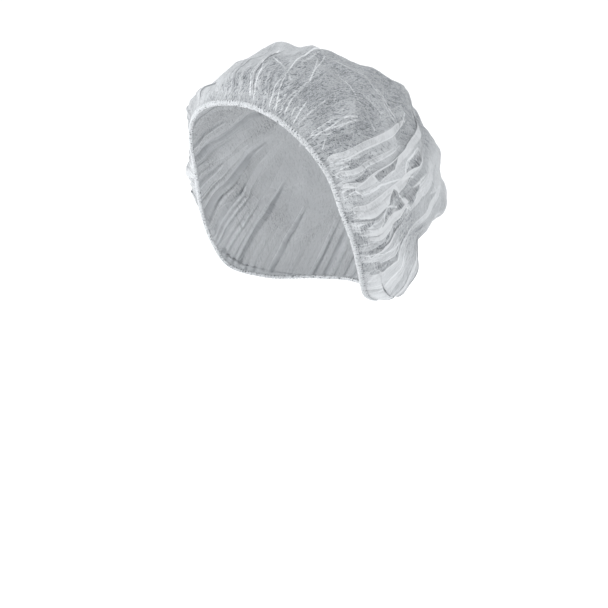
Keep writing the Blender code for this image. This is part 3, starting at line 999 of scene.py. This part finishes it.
def cloth_density(start, place):
    """How much fibre lies at a point: layers, plus lines, plus a web that fades under layers, with
    painted light from the puff and at the creases.
    """
    wrapped_place = read(start, "wrapped", "Vector")
    on_form = read(start, "on_form", "Vector")
    puff_light, drop = read(start, "puff_light"), read(start, "drop")
    folding, overlap = read(start, "folding"), read(start, "overlap")
    patches = noise_at(start, place, PATCH_SCALE, 2.0)
    along_folds = wrapped_place.vector_maths("MULTIPLY", (1.0, 1.0, STREAK_STRETCH))
    streaks = noise_at(start, along_folds, STREAK_SCALE, 1.0) - 0.5
    chance_layer = cells_at(start, wrapped_place, CELL_SCALE, edges=False)
    gap, gap_rim = gap_masks(start, on_form)
    # the puff adds painted light, not fibre: a whiter tone where light would come through the cloth
    layers = (
        BASE + puff_light * PUFF_LIGHT_GAIN + (patches - 0.5) * PATCH_GAIN
        + folding * (chance_layer.between(0.36, 0.62) - 0.35) * (1 - overlap) * CHANCE_GAIN
        + overlap * OVERLAP_GAIN
        + streaks * drop.between(0.62, 0.98) * STREAK_GAIN
        + drop.between(0.82, 1.0) * EDGE_GAIN
    )
    layers = layers.between_straight(0.0, 1.0) * (1 - gap) + gap * GAP_LAYER
    chance_line = 1 - cells_at(start, wrapped_place, CELL_SCALE, edges=True).between(0.0, 0.05)
    packet_line = 1 - cells_at(start, place, PACKET_SCALE, edges=True).between(0.0, 0.018)
    packet_line = packet_line * patches.between(0.42, 0.6)
    pressed_line = 1 - distance_to_lines(start, on_form, PRESSED_LINES).between(0.0003, 0.0013)
    pressed_line = pressed_line * patches.between(0.2, 0.55)
    # the crease lines are partly the whiter folded layers and partly painted light over the shade
    # beside the folds
    lines = read(start, "crease_and_painted_light") * CREASE_GAIN + folding * chance_line * CHANCE_LINE_GAIN
    lines = lines * (1 - gap * 0.8) + pressed_line * PRESSED_GAIN
    lines = lines + packet_line * PACKET_GAIN + gap_rim * RIM_GAIN
    web = fibre_web(start, place)
    cloud = noise_at(start, place, CLOUD_SCALE, 2.0, roughness=0.7)
    mottle = (web - 0.47) * WEB_GAIN + (cloud - 0.5) * CLOUD_GAIN
    mottle = mottle * (1 - puff_light * (0.6 - gap * 0.6))
    return layers + lines + mottle * (1 - layers * 0.75), web + cloud


def cloth_material():
    """Principled cloth with a share of translucent light, tone and alpha by density."""
    made, output, start = new_material("spunbond cloth")
    place = start.node("UVMap", {"uv_map": "flat_cloth"})
    density, relief = cloth_density(start, place)
    share = density.between_straight(0.0, 1.0)
    alpha = LEAST_ALPHA + share * ALPHA_GAIN
    relief = {"Strength": 0.35, "Distance": 0.0003, "Height": relief}
    bump = start.node("Bump", None, relief)
    surface = {"Base Color": share.tint(SINGLE_LAYER_TONE_AND_SHADE, FOLDED_TONE), "Alpha": alpha, "Normal": bump}
    surface.update({"Roughness": 0.62, "Sheen Weight": 0.15})
    skin = start.node("BsdfPrincipled", None, surface)
    glow = start.node("BsdfTranslucent", None, {"Color": GLOW_TONE, "Normal": bump})
    clear = start.node("BsdfTransparent")
    glowing = start.node("MixShader", None, {0: alpha, 1: clear, 2: glow})
    mixed = start.node("MixShader", None, {0: GLOW_SHARE, 1: skin, 2: glowing})
    return bind(made, output, mixed)


cloth_piece.data.materials.append(cloth_material())

# %% [markdown]
# Casing and thread
#
# The casing is the same cloth, several layers thick and pulled tight, so it is whiter and shows
# nothing through. Its dark dots are painted shade in the small pockets that the stitches leave
# between ruffles.
# The thread is a bright spun polyester with a faint twist.

# %% Casing and thread finishes
CASING_TONES = ((0.10, 0.11, 0.12), (0.70, 0.715, 0.73))
THREAD_TONES = ((0.46, 0.48, 0.50), (0.74, 0.75, 0.76))


def plain_finish(name, tone, tones, height, strength, distance, roughness):
    """Principled finish: a colour between two tones, and a bump, both from functions of place."""
    made, output, start = new_material(name)
    place = start.node("TexCoord", output="Object")
    grain = height(start, place)
    relief = {"Strength": strength, "Distance": distance, "Height": grain}
    bump = start.node("Bump", None, relief)
    surface = {"Base Color": tone(start, place, grain).tint(*tones), "Normal": bump}
    surface["Roughness"] = roughness
    return bind(made, output, start.node("BsdfPrincipled", None, surface))


def casing_tone(start, place, mottle):
    """White cloth with fine mottling, with painted shade in the pockets between stitches, and dark
    specks at random.
    """
    pocket_shade = read(start, "pocket_shade").between(0.10, 0.50)
    # small dark specks at random places on the casing
    dark_specks = {"Vector": place, "Scale": 430.0, "Randomness": 1.0}
    dark_specks = start.node("TexVoronoi", None, dark_specks).between(0.10, 0.34)
    tone = (mottle - 0.5) * 1.2 + 0.68 - pocket_shade * 0.8 - (1 - dark_specks) * 0.75
    return tone.between(0.0, 1.0)


casing_finish = plain_finish(
    "elastic casing", casing_tone, CASING_TONES,
    lambda start, place: noise_at(start, place, 700.0, 3.0), 0.5, 0.0003, 0.7,
)
thread_finish = plain_finish(
    "stitch thread", lambda start, place, twist: twist.between(0.3, 0.7), THREAD_TONES,
    lambda start, place: noise_at(start, place, 2500.0, 1.0), 0.4, 0.0001, 0.5,
)
casing_piece.data.materials.append(casing_finish)
thread_piece.data.materials.append(thread_finish)

# %% [markdown]
# Floor and light
#
# The photograph is a plain packshot: white all round, and light so soft that the cloth shows
# only its own layers. A pale floor under a bright even sky does most of it. A large lamp from
# the wearer's right front, which is the upper left of the picture, gives the folds their
# direction, and a weaker one behind the cap lights the cloth through.

# %% Floor, lamps and sky
FLOOR_HALF = 14.0
FLOOR_TONE, FLOOR_GLOW = (0.93, 0.93, 0.93, 1.0), 0.10
SKY_COLOUR, SKY_STRENGTH = (0.97, 0.985, 1.0, 1.0), 1.0
# name, place, side of the square (metres), power (watts)
LAMPS = (
    ("key lamp", (-0.9, -1.5, 1.3), 0.8, 33.0),
    ("back lamp", (1.6, 1.4, 1.2), 1.0, 12.0),
)


def make_floor():
    """A square of pale floor."""
    signs = ((-1, -1), (1, -1), (1, 1), (-1, 1))
    corners = [(x * FLOOR_HALF, y * FLOOR_HALF, FLOOR_LEVEL) for x, y in signs]
    mesh = bpy.data.meshes.new("floor")
    mesh.from_pydata(corners, [], [(0, 1, 2, 3)])
    floor = bpy.data.objects.new("floor", mesh)
    bpy.context.scene.collection.objects.link(floor)
    made, output, start = new_material("pale floor")
    surface = {"Base Color": FLOOR_TONE, "Roughness": 0.9}
    surface.update({"Emission Color": (1.0, 1.0, 1.0, 1.0), "Emission Strength": FLOOR_GLOW})
    skin = start.node("BsdfPrincipled", None, surface)
    mesh.materials.append(bind(made, output, skin))


def make_lamp(name, place, size, power):
    """A square lamp that faces the head's centre."""
    data = bpy.data.lights.new(name, "AREA")
    data.energy, data.size = power, size
    lamp = bpy.data.objects.new(name, data)
    lamp.location = place
    towards = Vector(HEAD_CENTRE) - Vector(place)
    lamp.rotation_euler = towards.to_track_quat("-Z", "Y").to_euler()
    bpy.context.scene.collection.objects.link(lamp)
    print(f"{name}: {power:.0f} W, {towards.length:.1f} m away")


make_floor()
for lamp in LAMPS:
    make_lamp(*lamp)
sky = bpy.data.worlds.new("studio sky")
sky.use_nodes = True
sky.node_tree.nodes["Background"].inputs["Color"].default_value = SKY_COLOUR
sky.node_tree.nodes["Background"].inputs["Strength"].default_value = SKY_STRENGTH
bpy.context.scene.world = sky
bpy.context.scene.view_settings.view_transform = "Standard"

# %% [markdown]
# Attaching the pieces
#
# Each piece is attached to the body that carries it. The imported crown and elastic band are
# hidden, as the cloth and its edge take their place.

# %% Attach the pieces
for piece in (cloth_piece, casing_piece, thread_piece):
    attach(piece, "root")
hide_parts("crown")
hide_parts("elastic_band")
